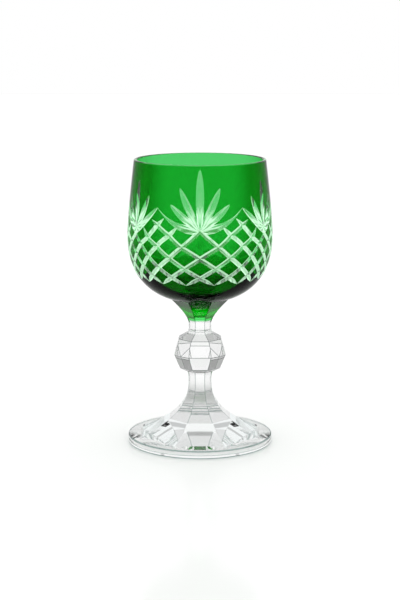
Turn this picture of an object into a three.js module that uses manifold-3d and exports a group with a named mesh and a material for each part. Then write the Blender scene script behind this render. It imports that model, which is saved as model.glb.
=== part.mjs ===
// A stemmed water glass of cased and cut crystal. A clear bowl carries a green overlay that is cut
// with fans above a lattice, and stands on an eight-sided stem with a faceted knop and a round foot.
// Millimetres, +Z up, origin in the middle of the foot's underside. The front faces -Y.
import * as THREE from "three";
import { mergeVertices } from "three/addons/utils/BufferGeometryUtils.js";
import Module from "manifold-3d";

const wasm = await Module();
wasm.setup();

// Heights of the pieces, from the table up
const FOOT_HEIGHT = 13.1; // underside to the joint with the shaft
const SHAFT_HEIGHT = 24.8;
const KNOP_HEIGHT = 20.9;
const NECK_HEIGHT = 7.4;
const COLLAR_HEIGHT = 10.3; // neck to the flat joint under the bowl
const BOWL_DEPTH = 36.5; // widest place of the bowl down to where its round bottom would end
const BOWL_SEAT_RISE = 1.0; // how much of that round bottom the flat joint takes off
const BOWL_LIP_HEIGHT = 38.7; // widest place of the bowl up to the rim

// Bowl
const BELT_RADIUS = 38.1; // outside, at its widest
const RIM_RADIUS = 34.4; // outside, at the top
const LIP_CURVE = 1.3; // how late the lip draws in: 1 is a cone, 2 a parabola
const BOWL_ROUNDNESS = 2.4; // superellipse exponent of the lower half, outside
const HOLLOW_ROUNDNESS = 2.3; // and inside
const CASING_BELT = 1.2; // thickness of the green overlay at the widest place
const CASING_RIM = 0.6; // and at the rim
const LAYER_GAP = 0.3; // clearance between the overlay and the crystal inside it
const CRYSTAL_BELT = 1.9; // thickness of the clear wall at the widest place
const CRYSTAL_RIM = 0.7; // and at the rim
const CRYSTAL_BOTTOM = 5.2; // and in the middle of the bottom
const HOLLOW_FLAT = 0.01; // rise that leaves a small flat in the middle of the hollow
const RIM_EASE = 0.3; // fire-polished roundness of the rim

// Stem
const SIDES = 8; // panels all the way from the bowl to the foot
const NECK_WAIST = 5.95; // distances from the axis to a panel
const COLLAR_FOOT = 6.55;
const COLLAR_TOP = 14.05;
const COLLAR_CURVE = 1.3; // how late the collar flares: 1 is a straight flare
const KNOP_END = 6.6;
const SHAFT_WAIST = 6.05;
const SHAFT_WAIST_DROP = 3.9; // from the knop down to the waist
const FLARE_REACH = 36.5; // how far the flare would reach at the table, past the waist
const FLARE_CURVE = 2.65;

// Knop: four tall panels, and between each two of them a pair of facets that meet at a ridge
const KNOP_PANELS = 4;
const KNOP_BELT = 13.54; // axis to panel at the equator
const KNOP_PANEL_HALF = 5.9; // half of a panel's width at the equator
const EQUATOR_SHARE = 0.464; // share of the knop's height that lies below its widest place
const PANEL_UPPER_LEAN = 16; // degrees that the panels lean in above the equator
const PANEL_LOWER_LEAN = 20;
const PAIR_ANGLE = 39.9; // degrees from a panel's middle to where a paired facet faces
const PAIR_UPPER_LEAN = 16.2;
const PAIR_LOWER_LEAN = 24;
const KITE_LEAN = 20.4; // degrees, kite-shaped facets ground on the ridges above the equator
const SHOULDER_UPPER_LEAN = 57.5; // degrees, facets that close the knop on the neck
const SHOULDER_LOWER_LEAN = 60; // and on the shaft

// Foot
const FOOT_RADIUS = 38.25;
const FOOT_EDGE = 4.3; // thickness at the edge
const FOOT_CROWN = 1.3; // rise of the round disc from its edge to where the flare has closed over it
const FOOT_EASE = 0.7; // roundness of the foot's edge
const FLARE_ROOT = 1.1; // how far the flare's lower end is buried under the disc's edge

// Cut pattern. Angles are degrees round the axis, from the front towards +X; heights are from the belt.
const FANS = 6;
const LATTICE_COLUMNS = 18;
const COLUMN_STEP = 360 / LATTICE_COLUMNS;
const FAN_STEP = 360 / FANS;
const SPREAD_ANGLE = 5; // degrees by which the lattice opens under the wide fans
const CROWD_ANGLE = 4.2; // degrees more, on the row right under a wide fan
const LATTICE_WIDTH = 2.35; // width of a lattice groove at the surface
const LATTICE_DEPTH = 0.9;
const LATTICE_TOP = 3.1; // mean height of the top row, which carries the fans
const TOP_RISE = 2.0; // how far the top row rises to a wide fan and sinks to a narrow one
const TOP_RIPPLE = 1.2; // how far it rises to every fan besides
const DEPTH_ROW_1 = 2.3; // how far under the belt the rows below it lie
const DEPTH_ROW_2 = 8.0;
const DEPTH_ROW_3 = 13.5;
const DEPTH_ROW_4 = 18.4;
const DEPTH_TIPS = 22.5; // and the tips where the grooves end
const STAR_HEIGHT = 8.2; // crossing of two grooves between two fans, above the top row
const STAR_ROWS = 1.55; // rows that a groove runs on above the top row, past that crossing
const LONE_ROWS = 0.62; // rows that it runs on where it meets no other
const LONE_RISE = 7.9; // height of such a row
const TIP_ROWS = 0.55; // rows over which the wheel goes in and comes out
const TIP_SHARE = 0.14; // share of a groove's width that is left at its very end
const BLADE_DEPTH = 1.15; // a blade's depth in its middle
const BLADE_END_SHARE = 0.06; // share of a blade's width that is left at its very tip

// Wide fan: heights of its base and of its blades' tips, and their widths, from the middle outwards
const WIDE_BASE = 6.3;
const WIDE_HEIGHT_0 = 36.7;
const WIDE_HEIGHT_1 = 27.3;
const WIDE_HEIGHT_2 = 19.0;
const WIDE_HEIGHT_3 = 17.0;
const WIDE_WIDTH_0 = 4.5;
const WIDE_WIDTH_1 = 3.9;
const WIDE_WIDTH_2 = 3.7;
const WIDE_WIDTH_3 = 4.2;
// Narrow fan, which starts lower and stands between two wide ones
const NARROW_BASE = 2.3;
const NARROW_HEIGHT_0 = 30.0;
const NARROW_HEIGHT_1 = 22.6;
const NARROW_HEIGHT_2 = 17.1;
const NARROW_WIDTH_0 = 4.3;
const NARROW_WIDTH_1 = 3.7;
const NARROW_WIDTH_2 = 3.0;
// A blade leans by an angle from its fan's middle to its tip. Its belly is under 1 where it is widest
// near the base, its taper says how soon it thins, and with a lift over 1 it runs out sideways first.
const STRAIGHT = { belly: 1, taper: 0.62, lift: 1 };
const SWAG = { belly: 0.5, taper: 1.4, lift: 2.2 };
const WIDE_FAN = {
  base: WIDE_BASE,
  blades: [
    { angle: 0, tip: WIDE_HEIGHT_0, width: WIDE_WIDTH_0, ...STRAIGHT },
    { angle: 16.3, tip: WIDE_HEIGHT_1, width: WIDE_WIDTH_1, ...STRAIGHT },
    { angle: 24, tip: WIDE_HEIGHT_2, width: WIDE_WIDTH_2, ...STRAIGHT },
    { angle: 35.5, tip: WIDE_HEIGHT_3, width: WIDE_WIDTH_3, ...SWAG },
  ],
};
const NARROW_FAN = {
  base: NARROW_BASE,
  blades: [
    { angle: 0, tip: NARROW_HEIGHT_0, width: NARROW_WIDTH_0, ...STRAIGHT },
    { angle: 14.7, tip: NARROW_HEIGHT_1, width: NARROW_WIDTH_1, ...STRAIGHT },
    { angle: 24.5, tip: NARROW_HEIGHT_2, width: NARROW_WIDTH_2, ...STRAIGHT },
  ],
};

// Mesh fineness
const ROUND_STEPS = 36;
const BOWL_ROWS = 9;
const LIP_ROWS = 4;
const BLADE_STEPS = 6;
const CURVE_ROWS = 9;

// Levels that follow from the heights
const SHAFT_TOP = FOOT_HEIGHT + SHAFT_HEIGHT;
const KNOP_TOP = SHAFT_TOP + KNOP_HEIGHT;
const NECK_TOP = KNOP_TOP + NECK_HEIGHT;
const BOWL_SEAT = NECK_TOP + COLLAR_HEIGHT;
const BELT = BOWL_SEAT - BOWL_SEAT_RISE + BOWL_DEPTH;
const RIM = BELT + BOWL_LIP_HEIGHT;
const CASING_FLOOR = BOWL_SEAT + CASING_BELT; // inside of the overlay, where the crystal stands

const radians = THREE.MathUtils.degToRad;
const steps = (count) => Array.from({ length: count + 1 }, (_, i) => i / count);

// Closed geometry as a solid that can be joined and cut
function solid(geometry) {
  const bare = new THREE.BufferGeometry().setAttribute("position", geometry.attributes.position);
  if (geometry.index) bare.setIndex(geometry.index);
  const merged = mergeVertices(bare, 1e-4);
  const triangles = [];
  for (let i = 0; i < merged.index.count; i += 3) {
    const [a, b, c] = [0, 1, 2].map((k) => merged.index.getX(i + k));
    if (a !== b && b !== c && c !== a) triangles.push(a, b, c);
  }
  const vertProperties = merged.attributes.position.array;
  return new wasm.Manifold(
    new wasm.Mesh({ numProp: 3, vertProperties, triVerts: new Uint32Array(triangles) }),
  );
}

function geometryOf(made) {
  const { vertProperties, triVerts } = made.getMesh();
  const geometry = new THREE.BufferGeometry();
  geometry.setAttribute("position", new THREE.BufferAttribute(vertProperties, 3));
  geometry.setIndex(new THREE.BufferAttribute(triVerts, 1));
  return geometry;
}

// Revolves a profile of [radius, height] pairs, which starts and ends on the axis
function revolve(profile, segments = ROUND_STEPS) {
  const points = profile.map(([r, z]) => new THREE.Vector2(Math.max(r, 0), z));
  return new THREE.LatheGeometry(points, segments).rotateX(Math.PI / 2);
}

// Lofts a stack of [distance to a panel, height] rings with flat panels, one facing the front
function panelLoft(rings) {
  const positions = [];
  const index = [];
  for (const [apothem, z] of rings) {
    const corner = apothem / Math.cos(Math.PI / SIDES);
    for (let side = 0; side < SIDES; side++) {
      const angle = ((side + 0.5) * 2 * Math.PI) / SIDES - Math.PI / 2;
      positions.push(corner * Math.cos(angle), corner * Math.sin(angle), z);
    }
  }
  const last = (rings.length - 1) * SIDES;
  for (let side = 0; side < SIDES; side++) {
    const next = (side + 1) % SIDES;
    for (let ring = 0; ring < last; ring += SIDES) {
      index.push(ring + side, ring + next, ring + SIDES + next);
      index.push(ring + side, ring + SIDES + next, ring + SIDES + side);
    }
    if (side > 0 && side < SIDES - 1) {
      index.push(0, side + 1, side);
      index.push(last, last + side, last + side + 1);
    }
  }
  const geometry = new THREE.BufferGeometry();
  geometry.setAttribute("position", new THREE.Float32BufferAttribute(positions, 3));
  return geometry.setIndex(index);
}

// Half of the bowl's outline at some inset from its outer face, from the rim down to the flat floor
function bowlOutline({ belt, rim, depth, roundness, floor, top }) {
  const lip = steps(LIP_ROWS).map((share) => {
    const height = (1 - share) * (top - BELT);
    const drawIn = (belt - rim) * (height / BOWL_LIP_HEIGHT) ** LIP_CURVE;
    return [belt - drawIn, BELT + height];
  });
  const flat = (floor - (BELT - depth)) / depth;
  const end = Math.asin((1 - flat) ** (roundness / 2));
  const cup = steps(BOWL_ROWS).map((share) => {
    const turn = share * end;
    const r = belt * Math.cos(turn) ** (2 / roundness);
    return [r, BELT - depth * Math.sin(turn) ** (2 / roundness)];
  });
  return [...lip, ...cup.slice(1)];
}

const OUTER_FACE = { belt: BELT_RADIUS, rim: RIM_RADIUS, depth: BOWL_DEPTH, roundness: BOWL_ROUNDNESS };
const insetFace = (atBelt, atRim, more) => ({
  ...OUTER_FACE,
  belt: BELT_RADIUS - atBelt,
  rim: RIM_RADIUS - atRim,
  depth: BOWL_DEPTH - atBelt,
  ...more,
});

// Clear blown bowl, with a heavy bottom and a fire-polished rim
function crystalBowl() {
  const skin = CASING_BELT + LAYER_GAP;
  const rimSkin = CASING_RIM + LAYER_GAP;
  const outside = bowlOutline(insetFace(skin, rimSkin, { floor: CASING_FLOOR, top: RIM - RIM_EASE }));
  const inside = bowlOutline(
    insetFace(skin + CRYSTAL_BELT, rimSkin + CRYSTAL_RIM, {
      floor: CASING_FLOOR + CRYSTAL_BOTTOM + HOLLOW_FLAT,
      depth: BELT - CASING_FLOOR - CRYSTAL_BOTTOM,
      roundness: HOLLOW_ROUNDNESS,
      top: RIM - RIM_EASE,
    }),
  );
  const rim = [(outside[0][0] + inside[0][0]) / 2, RIM];
  return revolve([[0, CASING_FLOOR], ...outside.reverse(), rim, ...inside, [0, inside.at(-1)[1]]]);
}

// Point on the bowl's outer face and its outward normal, at an angle and a height above the belt
function onBowl(angle, height) {
  const radiusAt = (h) => {
    if (h >= 0) return BELT_RADIUS - (BELT_RADIUS - RIM_RADIUS) * (h / BOWL_LIP_HEIGHT) ** LIP_CURVE;
    return BELT_RADIUS * (1 - (-h / BOWL_DEPTH) ** BOWL_ROUNDNESS) ** (1 / BOWL_ROUNDNESS);
  };
  const small = 0.05;
  const slope = (radiusAt(height + small) - radiusAt(height - small)) / (2 * small);
  const turn = radians(angle);
  const out = new THREE.Vector3(Math.sin(turn), -Math.cos(turn), 0);
  const point = out.clone().multiplyScalar(radiusAt(height));
  point.z = BELT + height;
  const normal = out.clone();
  normal.z = -slope;
  return { point, normal: normal.normalize() };
}

// Wedge that a V-edged wheel takes out along stations of {angle, height, width, depth}
function wheelCut(stations) {
  const CLEAR = 1.35; // the wedge stands this much taller than its cut, so it clears the surface
  const at = stations.map(({ angle, height }) => onBowl(angle, height));
  const positions = [];
  at.forEach(({ point, normal }, i) => {
    const ahead = at[Math.min(i + 1, at.length - 1)].point;
    const behind = at[Math.max(i - 1, 0)].point;
    const side = new THREE.Vector3().subVectors(ahead, behind).cross(normal).normalize();
    const { width, depth } = stations[i];
    const edge = point.clone().addScaledVector(normal, -depth);
    const rise = normal.clone().multiplyScalar(depth * CLEAR);
    const spread = side.clone().multiplyScalar((width / 2) * CLEAR);
    positions.push(edge, edge.clone().add(rise).add(spread), edge.clone().add(rise).sub(spread));
  });
  const index = [0, 1, 2];
  for (let i = 0; i < stations.length - 1; i++) {
    for (let k = 0; k < 3; k++) {
      const [a, b] = [3 * i + k, 3 * i + ((k + 1) % 3)];
      index.push(a, b + 3, b, a, a + 3, b + 3);
    }
  }
  const end = 3 * (stations.length - 1);
  index.push(end, end + 2, end + 1);
  const geometry = new THREE.BufferGeometry().setFromPoints(positions).setIndex(index);
  return solid(geometry);
}

// Where a lattice column really lies: columns draw apart under the wide fans and together beside them
function spreadColumn(angle, row) {
  const turn = radians(angle * (FANS / 2));
  const nearFan = Math.max(0, Math.cos(turn)) * Math.max(0, 1 - Math.abs(row - 1));
  return angle + Math.sin(turn) * (SPREAD_ANGLE + CROWD_ANGLE * nearFan);
}

// Height of the top row, which rises to the wide fans
function topRow(angle) {
  const turn = radians(angle * (FANS / 2));
  return LATTICE_TOP + TOP_RISE * Math.cos(turn) + TOP_RIPPLE * Math.cos(2 * turn);
}

// Value at a place among rising marks, in a straight line between them
function between(place, marks, values) {
  const i = Math.max(1, marks.findIndex((mark, k) => k > 0 && place <= mark + 1e-9));
  return THREE.MathUtils.mapLinear(place, marks[i - 1], marks[i], values[i - 1], values[i]);
}

// One long groove of the lattice, from its free end or the base of a fan down and round to its tip
function latticeGroove(startAngle, turn) {
  const columnsToFan = Math.round((((startAngle * turn) % FAN_STEP) + FAN_STEP) / COLUMN_STEP) % 3;
  const reach = [0, LONE_ROWS, STAR_ROWS][columnsToFan];
  const top = topRow(startAngle);
  const above = [0, top + LONE_RISE, STAR_HEIGHT][columnsToFan];
  const marks = [-2, -1, 0, 1, 2, 3, 4, 5];
  const below = [DEPTH_ROW_1, DEPTH_ROW_2, DEPTH_ROW_3, DEPTH_ROW_4, DEPTH_TIPS].map((depth) => -depth);
  const heights = [2 * above - top, above, top, ...below];
  const last = marks.at(-1);
  const rows = [-reach, ...marks.filter((row) => row > -reach), last - TIP_ROWS];
  rows.push(...[0, 1, 2].map((row) => row + 0.5));
  if (reach > 0) rows.push(TIP_ROWS - reach);
  rows.sort((a, b) => a - b);
  return wheelCut(
    rows.map((row) => {
      const fromEnd = Math.min(last - row, reach > 0 ? row + reach : last);
      const bite = Math.min(1, TIP_SHARE + fromEnd / TIP_ROWS);
      return {
        angle: spreadColumn(startAngle + (turn * row * COLUMN_STEP) / 2, row),
        height: between(row, marks, heights),
        width: LATTICE_WIDTH * bite,
        depth: LATTICE_DEPTH * bite,
      };
    }),
  );
}

// One blade of a fan: a long pointed cut from the fan's base to its tip
function blade(centre, base, { angle, tip, width, belly, taper, lift }, side) {
  return wheelCut(
    steps(BLADE_STEPS).map((share) => {
      const swell = BLADE_END_SHARE + (1 - BLADE_END_SHARE) * Math.abs(Math.sin(Math.PI * share ** belly)) ** taper;
      return {
        angle: centre + side * angle * share,
        height: base + (tip - base) * share ** lift,
        width: width * swell,
        depth: BLADE_DEPTH * swell,
      };
    }),
  );
}

// All the blades of a fan, the middle one once and the others on both sides
function fan(centre, { base, blades }) {
  return blades.flatMap((shape) =>
    shape.angle === 0
      ? [blade(centre, base, shape, 1)]
      : [blade(centre, base, shape, 1), blade(centre, base, shape, -1)],
  );
}

// Green overlay outside the bowl, with every cut of the wheel taken out of it
function bowlCasing() {
  const outside = bowlOutline({ ...OUTER_FACE, floor: BOWL_SEAT, top: RIM - RIM_EASE });
  const inside = bowlOutline(
    insetFace(CASING_BELT, CASING_RIM, { floor: CASING_FLOOR, top: RIM - RIM_EASE }),
  );
  const shell = solid(
    revolve([[0, BOWL_SEAT], ...outside.reverse(), ...inside, [0, CASING_FLOOR]]),
  );
  const cuts = [];
  for (let column = 0; column < LATTICE_COLUMNS; column++) {
    cuts.push(latticeGroove(column * COLUMN_STEP, 1), latticeGroove(column * COLUMN_STEP, -1));
  }
  for (let i = 0; i < FANS; i++) {
    cuts.push(...fan(i * FAN_STEP, i % 2 === 0 ? WIDE_FAN : NARROW_FAN));
  }
  return geometryOf(shell.subtract(wasm.Manifold.union(cuts)));
}

// Green collar that carries the bowl: a flared eight-sided seat hollowed to the bowl's round bottom
function collar() {
  const overshoot = 0.25; // share by which the blank runs on past the seat, before it is hollowed
  const rings = steps(CURVE_ROWS).map((share) => {
    const height = share * (1 + overshoot);
    const flare = (COLLAR_TOP - COLLAR_FOOT) * height ** COLLAR_CURVE;
    return [COLLAR_FOOT + flare, NECK_TOP + height * COLLAR_HEIGHT];
  });
  const seat = bowlOutline({ ...OUTER_FACE, floor: BOWL_SEAT, top: RIM }).slice(LIP_ROWS);
  const under = seat.slice(0, -1).map(([r, z]) => [r, z - LAYER_GAP]);
  const bowl = [seat.at(-1), ...under.filter(([, z]) => z > BOWL_SEAT).reverse()];
  const hollow = revolve([[0, BOWL_SEAT], ...bowl, [BELT_RADIUS, BELT + 1], [0, BELT + 1]]);
  return geometryOf(solid(panelLoft(rings)).subtract(solid(hollow)));
}

// Clear neck between the collar and the knop
function neck() {
  return panelLoft(
    steps(CURVE_ROWS).map((share) => {
      const end = share < 0.5 ? KNOP_END : COLLAR_FOOT;
      return [NECK_WAIST + (end - NECK_WAIST) * (2 * share - 1) ** 4, KNOP_TOP + share * NECK_HEIGHT];
    }),
  );
}

// Box whose near face grinds a flat: it faces along an angle, and leans in by a tilt towards the end
function facetCut({ angle, distance, height, lean }) {
  const SIZE = 4 * KNOP_BELT; // large enough to clear the whole knop
  const turn = radians(angle) - Math.PI / 2;
  const box = new THREE.BoxGeometry(SIZE, SIZE, SIZE).translate(SIZE / 2, 0, 0);
  box.rotateY(-radians(lean));
  box.translate(distance, 0, height);
  box.rotateZ(turn);
  return solid(box);
}

// Knop: tall panels and paired facets that meet at a pointed equator, ground off at both ends
function facetedKnop() {
  const height = SHAFT_TOP + KNOP_HEIGHT * EQUATOR_SHARE;
  const pair = KNOP_PANEL_HALF * Math.sin(radians(PAIR_ANGLE)) + KNOP_BELT * Math.cos(radians(PAIR_ANGLE));
  const halfStep = 180 / KNOP_PANELS;
  const ridge = pair / Math.cos(radians(halfStep - PAIR_ANGLE));
  const blank = solid(
    revolve([
      [0, SHAFT_TOP],
      [ridge + 1, SHAFT_TOP],
      [ridge + 1, KNOP_TOP],
      [0, KNOP_TOP],
    ]),
  );
  const cuts = [];
  for (let side = 0; side < KNOP_PANELS; side++) {
    const middle = 2 * halfStep * side;
    cuts.push(facetCut({ angle: middle, distance: KNOP_BELT, height, lean: PANEL_UPPER_LEAN }));
    cuts.push(facetCut({ angle: middle, distance: KNOP_BELT, height, lean: -PANEL_LOWER_LEAN }));
    cuts.push(facetCut({ angle: middle + halfStep, distance: ridge, height, lean: KITE_LEAN }));
    for (const angle of [middle - PAIR_ANGLE, middle + PAIR_ANGLE]) {
      cuts.push(facetCut({ angle, distance: pair, height, lean: PAIR_UPPER_LEAN }));
      cuts.push(facetCut({ angle, distance: pair, height, lean: -PAIR_LOWER_LEAN }));
    }
  }
  for (let side = 0; side < SIDES; side++) {
    const angle = (side * 360) / SIDES;
    cuts.push(facetCut({ angle, distance: KNOP_END, height: KNOP_TOP, lean: SHOULDER_UPPER_LEAN }));
    cuts.push(facetCut({ angle, distance: KNOP_END, height: SHAFT_TOP, lean: -SHOULDER_LOWER_LEAN }));
  }
  return geometryOf(blank.subtract(wasm.Manifold.union(cuts)));
}

// Distance from the axis to a panel of the flare that the shaft and the foot share, at a height
function flareAt(z) {
  const waist = SHAFT_TOP - SHAFT_WAIST_DROP;
  return SHAFT_WAIST + FLARE_REACH * Math.max(0, (waist - z) / waist) ** FLARE_CURVE;
}

// Clear shaft: swells to the knop at its top and flares into the foot
function shaft() {
  const rings = steps(CURVE_ROWS * 2).map((share) => {
    const z = FOOT_HEIGHT + share * SHAFT_HEIGHT;
    const swell = Math.max(0, (z - (SHAFT_TOP - SHAFT_WAIST_DROP)) / SHAFT_WAIST_DROP) ** 2;
    return [flareAt(z) + (KNOP_END - SHAFT_WAIST) * swell, z];
  });
  return panelLoft(rings);
}

// Foot: a round polished disc with the last of the eight-sided flare rising from it
function foot() {
  const crown = [FOOT_RADIUS / 2, FOOT_EDGE + FOOT_CROWN];
  const disc = revolve([
    [0, 0],
    [FOOT_RADIUS - FOOT_EASE, 0],
    [FOOT_RADIUS, FOOT_EASE],
    [FOOT_RADIUS, FOOT_EDGE - FOOT_EASE],
    [FOOT_RADIUS - FOOT_EASE, FOOT_EDGE],
    crown,
    [0, crown[1]],
  ], ROUND_STEPS * 2);
  const sunk = FOOT_EDGE - FLARE_ROOT;
  const flare = panelLoft(
    steps(CURVE_ROWS).map((share) => {
      const z = sunk + share * (FOOT_HEIGHT - sunk);
      return [flareAt(z), z];
    }),
  );
  return geometryOf(solid(disc).add(solid(flare)));
}

// Finishes
const clearCrystal = new THREE.MeshStandardMaterial({
  color: "#eef2f1",
  roughness: 0.04,
  metalness: 0,
  transparent: true,
  opacity: 0.35,
});
const greenCrystal = new THREE.MeshStandardMaterial({
  color: "#0b8f2a",
  roughness: 0.05,
  metalness: 0,
  transparent: true,
  opacity: 0.75,
});

function piece(name, geometry, material) {
  const mesh = new THREE.Mesh(geometry, material);
  mesh.name = name;
  return mesh;
}

const glass = new THREE.Group();
glass.name = "water_glass";
glass.add(
  piece("foot", foot(), clearCrystal),
  piece("shaft", shaft(), clearCrystal),
  piece("faceted_knop", facetedKnop(), clearCrystal),
  piece("neck", neck(), clearCrystal),
  piece("collar", collar(), greenCrystal),
  piece("bowl_casing", bowlCasing(), greenCrystal),
  piece("crystal_bowl", crystalBowl(), clearCrystal),
);

export default glass;
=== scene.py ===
"""Visual model of a stemmed water glass in green overlay crystal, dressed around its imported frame.

The glass is seven pieces of glass melted together. The classes below make each of them as a closed mesh,
from sizes in millimetres, and each face has a finish: polished as blown, ground by the wheel, or fused to
the next piece.
"""

import logging
import math
from dataclasses import dataclass, field
from enum import Enum, IntEnum
from functools import partial
from typing import Callable, Sequence

import bmesh
import bpy
import numpy as np
from bpy.types import ID, Material, Mesh, Node, NodeSocket, NodeTree, Object, World
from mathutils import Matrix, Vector


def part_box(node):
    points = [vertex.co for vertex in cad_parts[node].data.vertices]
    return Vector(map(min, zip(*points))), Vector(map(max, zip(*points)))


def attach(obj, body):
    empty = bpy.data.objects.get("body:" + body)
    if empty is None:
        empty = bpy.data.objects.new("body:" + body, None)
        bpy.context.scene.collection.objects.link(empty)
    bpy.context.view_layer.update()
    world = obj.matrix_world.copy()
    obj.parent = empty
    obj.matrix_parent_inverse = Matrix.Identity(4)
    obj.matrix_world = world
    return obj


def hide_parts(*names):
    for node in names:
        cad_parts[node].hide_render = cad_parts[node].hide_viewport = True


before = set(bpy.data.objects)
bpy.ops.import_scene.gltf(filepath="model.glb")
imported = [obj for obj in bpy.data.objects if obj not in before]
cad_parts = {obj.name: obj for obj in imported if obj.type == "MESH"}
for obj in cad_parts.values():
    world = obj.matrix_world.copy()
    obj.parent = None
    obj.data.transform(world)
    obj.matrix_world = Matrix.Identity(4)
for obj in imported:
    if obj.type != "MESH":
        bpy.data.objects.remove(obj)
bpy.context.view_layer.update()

MM = 0.001
# The step in millimetres over which a form's slope is measured
SMALL = 0.02
# A radius in millimetres under which a point counts as being on the axis
ON_AXIS = 1e-6
BODY = "root"

Colour = tuple[float, float, float, float]
Ring = tuple[float, float]
Adder = Callable[..., Node]

log = logging.getLogger("water_glass")


class Skin(IntEnum):
    """How a face of a piece was made, which is also its material slot on every piece.

    RIDGE is the rounded rim on the bowl's overlay. DETAIL is a blade of a fan on the bowl, and the
    rounded edge of the rim on the foot.
    """

    POLISHED = 0
    CUT = 1
    FUSED = 2
    RIDGE = 3
    DETAIL = 4


class Slot(str, Enum):
    """The record's material slots."""

    CLEAR = "clear_crystal"
    OVERLAY = "green_overlay"
    GREEN = "green_crystal"


class Working(str, Enum):
    """What tools do to a body."""

    TAKEN_OUT = "DIFFERENCE"
    JOINED_ON = "UNION"


def linear(sheet: str) -> Colour:
    """Turns an sRGB hex colour into the linear colour that shaders take.

    Args:
        sheet: the colour as #RRGGBB.

    Returns:
        Linear red, green, blue and an alpha of 1.
    """
    shares = [int(sheet[i : i + 2], 16) / 255 for i in (1, 3, 5)]
    low, knee, power = 12.92, 0.04045, 2.4
    red, green, blue = (s / low if s <= knee else ((s + 0.055) / 1.055) ** power for s in shares)
    return red, green, blue, 1.0


WHITE = linear("#FFFFFF")
# What one crossing of the emerald-green layer lets through: nearly no red and little blue
EMERALD = "#52CD6B"


def add_node(tree: NodeTree, kind: str, inputs: dict | None = None, **settings) -> Node:
    """Adds a shader node with its settings and links.

    Args:
        tree: the node tree that gets the node.
        kind: Blender's name of the node type.
        inputs: input name or number to a value, to the output socket that feeds it, or to the node whose
            first output does.
        settings: attributes of the node itself.

    Returns:
        The new node.
    """
    node = tree.nodes.new(kind)
    for name, value in settings.items():
        setattr(node, name, value)
    for name, value in (inputs or {}).items():
        if isinstance(value, Node):
            value = value.outputs[0]
        if isinstance(value, NodeSocket):
            tree.links.new(value, node.inputs[name])
        else:
            node.inputs[name].default_value = value
    return node


def emptied(owner: Material | World) -> Adder:
    """Empties the node tree of a new material or world.

    Args:
        owner: the material or the world.

    Returns:
        The function add_node for that tree.
    """
    owner.use_nodes = True
    owner.node_tree.nodes.clear()
    return partial(add_node, owner.node_tree)


def seen_aslant(add: Adder, low: float, high: float, most: float) -> Node:
    """Adds a share that rises as a face is seen more aslant.

    Args:
        add: the adder of nodes to the material.
        low: how far aslant it starts to rise, from 0 straight on to 1 edge on.
        high: how far aslant it is at its most.
        most: the share there.

    Returns:
        The node that gives the share.
    """
    edge = add("ShaderNodeLayerWeight", {"Blend": 0.5})
    return add(
        "ShaderNodeMapRange",
        {"Value": edge.outputs["Facing"], "From Min": low, "From Max": high, "To Max": most},
        interpolation_type="SMOOTHSTEP",
    )


def lit_through(add: Adder, glass: Node, colour: NodeSocket | Colour) -> None:
    """Ends a material with glass that bends what is seen, but lets light fall straight through it.

    Args:
        add: the adder of nodes to the material.
        glass: the shader that is seen.
        colour: the colour that the light takes on one crossing.
    """
    kept = 0.9
    dim = add(
        "ShaderNodeMix", {0: 1.0, 6: colour, 7: (kept, kept, kept, 1.0)}, data_type="RGBA",
        blend_type="MULTIPLY",
    )
    clear = add("ShaderNodeBsdfTransparent", {"Color": dim.outputs[2]})
    path = add("ShaderNodeLightPath").outputs
    falls = add(
        "ShaderNodeMath", {0: path["Is Shadow Ray"], 1: path["Is Diffuse Ray"]}, operation="MAXIMUM"
    )
    mixed = add("ShaderNodeMixShader", {0: falls, 1: glass, 2: clear})
    add("ShaderNodeOutputMaterial", {"Surface": mixed})


@dataclass(frozen=True)
class Finish:
    """How a face of the glass was finished, with the name of its material."""

    name: str

    def nodes(self, add: Adder) -> None:
        """Adds the nodes of the material.

        Args:
            add: the adder of nodes to the material.
        """
        raise NotImplementedError

    def material(self) -> Material:
        """Builds the material, or finds it if it is already there.

        Returns:
            The material.
        """
        made = bpy.data.materials.get(self.name)
        if made is None:
            made = bpy.data.materials.new(self.name)
            self.nodes(emptied(made))
        return made


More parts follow.
